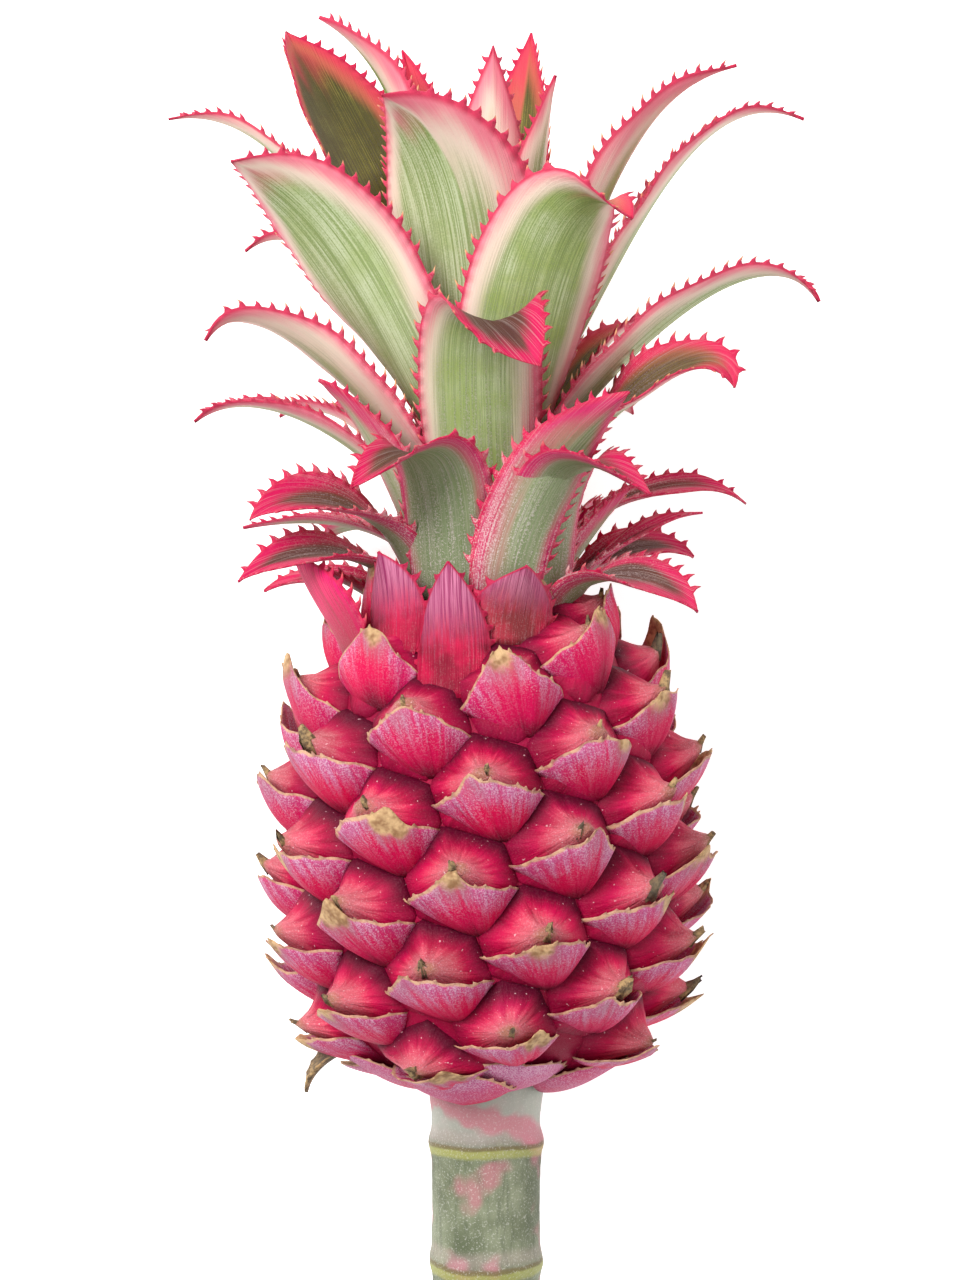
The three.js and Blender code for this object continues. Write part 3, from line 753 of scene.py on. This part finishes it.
def bract(cell, rng):
    bm = bmesh.new()
    bmesh.ops.create_grid(bm, x_segments=BRACT_COLUMNS, y_segments=BRACT_ROWS, size=1.0)
    layers = sheet_layers(bm, ("edge", "tip", "tone", "rise", "across"))
    flesh = bm.verts.layers.deform.verify()
    left, right = cell.room(188) * BRACT_OVERLAP, cell.room(-4) * BRACT_OVERLAP
    low = Vector((math.cos(math.radians(-70)), math.sin(math.radians(-70)))) * (cell.room(-70) + 0.4)
    tone, phase, swing = rng.random(), rng.uniform(0, 6.28), rng.uniform(-0.45, 0.45)
    dryness = rng.choice(DRYNESSES)
    point = rng.choice(POINTS) * cell.size * (1 + smooth(cell.station, 64, 84))
    top = rng.uniform(0.86, 1.02) * BEAK * cell.size
    point_width = 0.15 + 0.25 * smooth(cell.station, 62, 84)
    proud = 0.8 * (1 - 0.9 * max(0, math.cos(math.radians(cell.turn))) ** 2)
    margin = {}
    for vert in bm.verts:
        u, t = vert.co.x, (vert.co.y + 1) / 2
        a_top = lerp(-left, right, (u + 1) / 2)
        b_top = -1.6 + 0.13 * a_top - 1.0 * u * u
        peak = point * math.exp(-((u - swing) / point_width) ** 2)
        b_top += peak + 0.4 * math.sin(phase + 5 * u) + 0.2 * math.sin(17 * u)
        h_top = top * (1 - abs(u) ** 2.2) + 0.8 + peak * proud + 0.5 * math.sin(phase * 2 + 5 * u) * (1 - abs(u))
        a = lerp(low.x + 1.2 * u, a_top, t ** 0.95)
        b = lerp(low.y - 0.2, b_top, t)
        height = lerp(-1.0, h_top, t ** 0.85)
        height += 0.9 * math.sin(math.pi * t) * (1 - u * u) + 0.5 * t * math.exp(-(u / 0.15) ** 2)
        vert.co = cell.at(a, b + hook(height, cell.size) * 0.5 * t, height)
        vert[layers["edge"]] = (1 - t) * (b_top - low.y) * (1 + smooth(cell.station, 62, 80))
        vert[layers["tip"]] = dryness * math.exp(-((u - swing) / 0.3) ** 2) * smooth(t, 0.4, 1.0)
        vert[layers["tone"]] = tone
        vert[layers["rise"]] = t * (1 - 0.25 * smooth(cell.station, 64, 84))
        vert[layers["across"]] = u * (0.6 + 0.4 * t)
        vert[flesh][0] = lerp(1.0, 0.3, t ** 3)
        if t > 0.999:
            margin[round((u + 1) * BRACT_COLUMNS / 2)] = vert
    outward = (cell.at(0, 3, 3) - cell.at(0, 0, 0)).normalized()
    sideways = place(1, cell.turn + 90, 0)
    for column in range(1, BRACT_COLUMNS - 1, 2):
        one, other = margin[column], margin[column + 1]
        edge = next(item for item in one.link_edges if other in item.verts)
        if rng.random() < SPINED_SHARE:
            lean_way = sideways * rng.uniform(-0.6, 0.6)
            draw_spine(bm, edge, outward, lean_way, rng.uniform(0.4, 1.2) * cell.size, layers)
    for vert in bm.verts:
        vert.co.z = pressed(vert.co.z, -AXIS_HEIGHT + BRACT_FLOOR)
    bmesh.ops.recalc_face_normals(bm, faces=bm.faces)
    middle = bm.faces[len(bm.faces) // 2]
    if middle.normal.dot(place(1, cell.turn, 0)) < 0:
        bmesh.ops.reverse_faces(bm, faces=bm.faces)
    return bm


bracts = bmesh.new()
rng = random.Random(11)
for cell in cells:
    add_to(bracts, bract(cell, rng))
print("bracts", len(bracts.faces), "faces")

# %% [markdown]
# ## The dry flower on each beak
# Each fruitlet keeps the dried rest of its flower at its tip, a small dark and tan tuft. At this size a ragged cone
# is enough: a cone with few sides, subdivided once and roughened. The three directions of the roughness come from
# three places in one noise, because Blender's own vector noise starts from another place in every run.

# %% Build the tufts
TUFT_SIDES = 7
TUFT_SIZES = (0.7, 1.0, 1.3, 1.8)
ROUGH_PLACES = (7.3, 31.7, 58.1)


def tuft(cell, rng):
    bm = bmesh.new()
    size = cell.size * rng.choice(TUFT_SIZES)
    bmesh.ops.create_cone(bm, cap_ends=True, segments=TUFT_SIDES, radius1=size, radius2=0.3 * size, depth=3.4 * size)
    bmesh.ops.subdivide_edges(bm, edges=bm.edges, cuts=1)
    for vert in bm.verts:
        spot = vert.co * 1.7 + Vector((cell.index * 3.1, 0, 0))
        rough = Vector([noise.noise(spot + Vector((0, 0, shift))) for shift in ROUGH_PLACES])
        vert.co += rough * 0.55 * size
    base = cell.at(0, -0.4 + hook(BEAK * cell.size, cell.size), BEAK * cell.size * 0.93)
    ahead = cell.at(0, 3.6 + hook(BEAK * cell.size, cell.size), BEAK * cell.size + 3.0) - base
    turn = Vector((0, 0, 1)).rotation_difference(ahead).to_matrix().to_4x4()
    bmesh.ops.transform(bm, matrix=Matrix.Translation(base) @ turn, verts=bm.verts)
    for vert in bm.verts:
        vert.co.z = pressed(vert.co.z)
    return bm


tufts = bmesh.new()
rng = random.Random(5)
for cell in cells:
    add_to(tufts, tuft(cell, rng))
print("tufts", len(tufts.faces), "faces")

# %% [markdown]
# ## Fruit finishes
# The domes are crimson, with painted shade that darkens them to maroon in the valleys and most on their upper side,
# under the bract above, and greyish pink round the eye, where a pale bloom gathers. The bracts start crimson, with
# painted shade that darkens them to maroon low in the valley, and turn lilac under a white bloom towards the margin,
# and their rims and points are papery tan, with a dusky zone round the points. The bloom is fine speckle, so it comes
# from a small noise, and the papery rim follows the margin. Little light is reflected, which keeps the crimson deep.

# %% Fruit finishes
def dome_finish():
    skin = Finish("fruit_skin", specular_ior_level=0.2, ior=1.42)
    ring, tone, upper = skin.attribute("ring"), skin.attribute("tone"), skin.attribute("upper")
    place_on = skin.place()
    cloud = skin.noise(place_on, 130.0, 3.0, 0.6)
    wide = skin.noise(place_on, 45.0, 2.0)
    grain = skin.noise(place_on, 3200.0, 2.0, 0.75)
    specks = skin.noise(place_on, 1300.0, 1.0, 0.5)
    way = skin.vector(skin.attribute("way_x") * 4.5, skin.attribute("way_y") * 4.5, ring * 1.2 + tone * 50)
    wrinkle = skin.noise(way, 1.0, 3.0, 0.65)
    base = skin.mix((wide + (wrinkle - 0.5)).rise(0.35, 0.65), (214, 0, 76), (166, 0, 54))
    base = skin.mix(cloud.rise(0.45, 0.75) * 0.5, base, (218, 6, 92))
    base = skin.mix(tone * 0.35, base, (166, 8, 66))
    eye = (ring + (cloud - 0.5) * 0.25 + (wrinkle - 0.5) * 0.5).rise(0.6, 0.1)
    base = skin.mix(eye * 0.55, base, (202, 130, 130))
    base = skin.mix(ring.rise(0.2, 0.05) * 0.7, base, (150, 112, 80))
    # Painted shade: darker towards the valleys between fruitlets, and most on the upper side of each dome, under the
    # bract above.
    valley_shade = (ring + (cloud - 0.5) * 0.25).rise(0.38, 0.88) * (0.5 + upper * 0.44)
    base = skin.mix(valley_shade, base, (72, 0, 30))
    bloom = grain.rise(0.5, 0.66) * (eye * 0.75 + 0.08)
    base = skin.mix(bloom * 0.5, base, (222, 170, 180))
    base = skin.mix(specks.rise(0.72, 0.79) * 0.6, base, (236, 196, 200))
    return skin.connect(base_color=base, roughness=0.4 + grain * 0.3,
                        normal=skin.bump(cloud * 0.4 + wrinkle + grain * 0.3, 0.0006, 0.8))


def bract_finish():
    skin = Finish("bract_skin", specular_ior_level=0.2, ior=1.42)
    edge, tip, tone, rise = (skin.attribute(key) for key in ("edge", "tip", "tone", "rise"))
    place_on = skin.place()
    cloud = skin.noise(place_on, 150.0, 3.0, 0.6)
    grain = skin.noise(place_on, 3200.0, 2.0, 0.75)
    streak = skin.noise(place_on, 420.0, 2.0, 0.7)
    fibre = skin.noise(skin.vector(skin.attribute("across") * 11.0, rise * 1.3, tone * 60), 1.0, 3.0, 0.65)
    base = skin.mix((rise + (fibre - 0.5) * 0.9 + (cloud - 0.5) * 0.5).rise(0.45, 1.05), (206, 0, 72), (182, 84, 134))
    base = skin.mix(skin.attribute("across").size().rise(0.45, 0.95) * 0.5, base, (190, 16, 104))
    base = skin.mix(tone * 0.3, base, (170, 12, 84))
    # Painted shade: deep maroon low on each bract, down in the valley between fruitlets.
    base = skin.mix((rise + (cloud - 0.5) * 0.3).rise(0.38, 0.0) * 0.9, base, (84, 2, 28))
    bloom = (grain + (fibre - 0.5) * 0.5).rise(0.44, 0.68) * (rise.rise(0.3, 1.0) * 0.85 + 0.12)
    base = skin.mix(bloom * 0.62, base, (230, 200, 216))
    base = skin.mix((tip + (fibre - 0.5) * 0.5).rise(0.05, 0.5) * 0.5, base, (158, 104, 112))
    dry = skin.mix(streak.rise(0.35, 0.7), (204, 168, 124), (142, 104, 72))
    base = skin.mix((tip + (streak - 0.5) * 0.4).rise(0.42, 0.68), base, dry)
    base = skin.mix((edge + (streak - 0.5) * 0.8).rise(0.45, 0.15) * 0.8, base, dry)
    return skin.connect(base_color=base, roughness=0.45 + grain * 0.3,
                        normal=skin.bump(cloud * 0.3 + fibre + grain * 0.3, 0.0006, 0.8))


def tuft_finish():
    skin = Finish("dry_flower", roughness=0.85)
    place_on = skin.place()
    streak = skin.noise(place_on, 700.0, 3.0, 0.7)
    tint = skin.noise(place_on, 60.0, 2.0)
    base = skin.mix(streak.rise(0.35, 0.65), (180, 148, 102), (92, 74, 54))
    base = skin.mix(tint.rise(0.5, 0.65) * 0.7, base, (78, 72, 62))
    return skin.connect(base_color=base, normal=skin.bump(streak, 0.0006, 0.9))


fruit_skin, bract_skin, dry_flower = dome_finish(), bract_finish(), tuft_finish()
add_to(domes, core)
finish_piece("fruit_domes", domes, [fruit_skin], ["fruit"])
finish_piece("fruit_bracts", bracts, [bract_skin], thickness=BRACT_THICKNESS)
finish_piece("dry_flowers", tufts, [dry_flower])

# %% [markdown]
# ## The collar under the fruit
# The lowest bracts carry no fruitlet. They spread flat under the fruit like a collar, lilac with a tan rim. They are
# blades with the same recipe as the crown's leaves, only short, broad and nearly square to the axis.

# %% Build the collar
COLLAR_BRACTS = 7
COLLAR_THICKNESS = 0.7
COLLAR_FIRST_TURN = 14

for index in range(COLLAR_BRACTS):
    turn = COLLAR_FIRST_TURN + FRUITLET_TURN * index
    row = {"at": -0.6 - 0.5 * index, "root": 13, "turn": turn, "width": 23, "reach": 30, "tip_turn": turn,
           "tip_at": 7.0 - 0.5 * index, "lean": (86, 60), "cup": 0.5, "belly": 0.35, "taper": 2.2, "spines": 0.35}
    bm = blade(row, seed=300 + index, columns=14, step_length=1.2, thickness=COLLAR_THICKNESS)
    rise, along = bm.verts.layers.float.new("rise"), bm.verts.layers.float["along"]
    for vert in bm.verts:
        vert[rise] = 0.55 + 0.45 * vert[along]
    finish_piece(f"collar_bract_{index + 1}", bm, [bract_skin, bract_skin], [f"base_bract_{index + 1}"],
                 COLLAR_THICKNESS)
print("collar of", COLLAR_BRACTS, "bracts")

# %% [markdown]
# ## A withered tip
# One dry leaf end still hangs from the lowest bracts, beside the stem. It is one more narrow blade, in the finish of
# the dry flowers.

# %% Build the withered tip
row = {"at": 6, "root": 27, "turn": -80, "width": 8, "reach": 36, "tip_turn": -82, "tip_at": -2.5,
       "lean": (95, 170), "taper": 3, "spines": 0.3}
withered = blade(row, seed=400, columns=6, step_length=1.0)
print("withered tip", len(withered.faces), "faces")
finish_piece("withered_tip", withered, [dry_flower, dry_flower], thickness=LEAF_THICKNESS)

# %% [markdown]
# ## The stem
# The stem is a soft round bar, thicker at the scars where leaves were, and cut square at its end. The outline is spun
# in close rings, and then pushed in and out a little so that it is not perfectly round. Its skin is grey-green with
# pink blotches and an olive ring at each scar. Its top is paler, with the pink rest of a leaf sheath slanting across.

# %% Build the stem
STEM_NODES = (-37, -13)
STEM_RADIUS = 10.8
RING_STEP, RINGS = 0.6, 85


def stem_radius(station):
    swelling = sum(math.exp(-((station - node) / 2.2) ** 2) for node in STEM_NODES)
    return STEM_RADIUS + 0.7 * swelling + 0.9 * smooth(station, -10, 0)


outline = [(-STEM_LENGTH, 0), (-STEM_LENGTH + 0.15, 5), (-STEM_LENGTH, stem_radius(-STEM_LENGTH) - 0.7),
           (-STEM_LENGTH + 0.5, stem_radius(-STEM_LENGTH) - 0.1)]
stations = [-STEM_LENGTH + 1 + step * RING_STEP for step in range(RINGS)]
outline += [(station, stem_radius(station)) for station in stations] + [(0.0, 0)]
stem = spun(outline, 72)
cut = stem.verts.layers.float.new("cut")
for vert in stem.verts:
    radial = Vector((vert.co.x, 0, vert.co.z))
    if radial.length > 0.01:
        push = 0.35 * noise.noise(vert.co * 0.09) + 0.12 * noise.noise(vert.co * 0.5)
        vert.co += radial.normalized() * push * smooth(radial.length, 5, 10)
    vert[cut] = float(vert.co.y < -STEM_LENGTH + 0.3)


def stem_finish():
    skin = Finish("stem_skin", roughness=0.55, ior=1.4)
    cut = skin.attribute("cut")
    place_on = skin.place()
    station = (skin.node("ShaderNodeSeparateXYZ", None, {0: place_on}, output="Y") - ORIGIN.y) * 1000.0
    sideways = (skin.node("ShaderNodeSeparateXYZ", None, {0: place_on}, output="X") - ORIGIN.x) * 1000.0
    stretched = skin.node("ShaderNodeMapping", None, {"Vector": place_on, "Scale": (1.0, 0.12, 1.0)})
    fibres = skin.noise(stretched, 900.0, 3.0, 0.6)
    blotch = skin.noise(place_on, 70.0, 3.0, 0.6)
    grain = skin.noise(place_on, 2600.0, 2.0, 0.7)
    base = skin.mix(blotch.rise(0.35, 0.65), (132, 138, 112), (88, 96, 70))
    base = skin.mix(fibres.rise(0.45, 0.7) * 0.6, base, (84, 92, 70))
    elsewhere = skin.node("ShaderNodeMapping", None, {"Vector": place_on, "Location": (3.0, 1.0, 2.0)})
    pinkish = skin.noise(elsewhere, 95.0, 2.0)
    base = skin.mix(pinkish.rise(0.52, 0.66) * 0.6, base, (184, 104, 122))
    base = skin.mix((station + (blotch - 0.5) * 10).rise(-14, -6) * 0.6, base, (204, 206, 196))
    sheath = (station + sideways * 0.4 + 6 + (blotch - 0.5) * 14).size()
    base = skin.mix(sheath.rise(3.2, 1.4) * 0.62, base, (206, 98, 124))
    for node in STEM_NODES:
        above = station - node + (blotch - 0.5) * 3
        base = skin.mix((above + 0.6).size().rise(1.7, 0.7) * 0.65, base, (168, 168, 88))
        base = skin.mix((above - 0.4).size().rise(0.7, 0.2) * 0.7, base, (92, 74, 50))
        base = skin.mix((above - 2.5).size().rise(2.4, 0.4) * 0.2, base, (196, 168, 170))
    scurf = grain.rise(0.54, 0.68)
    base = skin.mix(scurf * 0.32, base, (222, 220, 212))
    flesh = skin.mix(grain.rise(0.4, 0.6), (212, 208, 164), (184, 176, 128))
    base = skin.mix(cut, base, flesh)
    return skin.connect(base_color=base, roughness=0.5 + grain * 0.25,
                        normal=skin.bump(fibres * 0.6 + grain * 0.3, 0.0003, 0.6))


finish_piece("stem_skin", stem, [stem_finish()], ["stem"])
print("stem spun")

# %% [markdown]
# ## Floor, light and camera
# The fruit lies on a plain pale floor under broad, soft light, so its own colours carry the picture. A white world
# fills the shadows, one large light from the upper left shapes the forms, and a weaker one opposite keeps the right
# side clear. The floor gives a little light of its own, so it stays an even white. The camera looks straight down on
# the lying fruit with its crown at the top of the frame.

# %% Floor, light and camera
FLOOR_SIZE = 2.0
CAMERA_PLACE = Vector((-0.0012, 0.087, 0.498))  # from station 0 on the axis

floor_bm = bmesh.new()
bmesh.ops.create_grid(floor_bm, x_segments=1, y_segments=1, size=FLOOR_SIZE)
floor_mesh = bpy.data.meshes.new("floor")
floor_bm.to_mesh(floor_mesh)
floor_bm.free()
floor = bpy.data.objects.new("floor", floor_mesh)
bpy.context.scene.collection.objects.link(floor)
floor_mesh.materials.append(Finish("floor", base_color=(0.9, 0.9, 0.9, 1), roughness=0.9,
                                   emission_color=(1, 1, 1, 1), emission_strength=0.6).material)

world = bpy.data.worlds.new("studio")
world.use_nodes = True
world.node_tree.nodes["Background"].inputs["Color"].default_value = (1, 1, 1, 1)
world.node_tree.nodes["Background"].inputs["Strength"].default_value = 0.58
bpy.context.scene.world = world
bpy.context.scene.view_settings.view_transform = "Standard"


def area_light(name, spot, size, power):
    data = bpy.data.lights.new(name, "AREA")
    data.size = size
    data.energy = power
    light = bpy.data.objects.new(name, data)
    light.location = spot
    light.rotation_euler = (ORIGIN - Vector(spot)).to_track_quat("-Z", "Y").to_euler()
    bpy.context.scene.collection.objects.link(light)


area_light("key", (-0.5, 0.5, 0.9), 0.45, 14.0)
area_light("fill", (0.7, -0.1, 0.8), 0.9, 2.5)

camera_data = bpy.data.cameras.new("camera")
camera_data.lens = 70.0
camera_data.sensor_width = 36.0
camera_data.clip_start = 0.01
camera = bpy.data.objects.new("camera", camera_data)
camera.location = ORIGIN + CAMERA_PLACE
bpy.context.scene.collection.objects.link(camera)
bpy.context.scene.camera = camera
print("camera at", [round(value, 3) for value in camera.location])
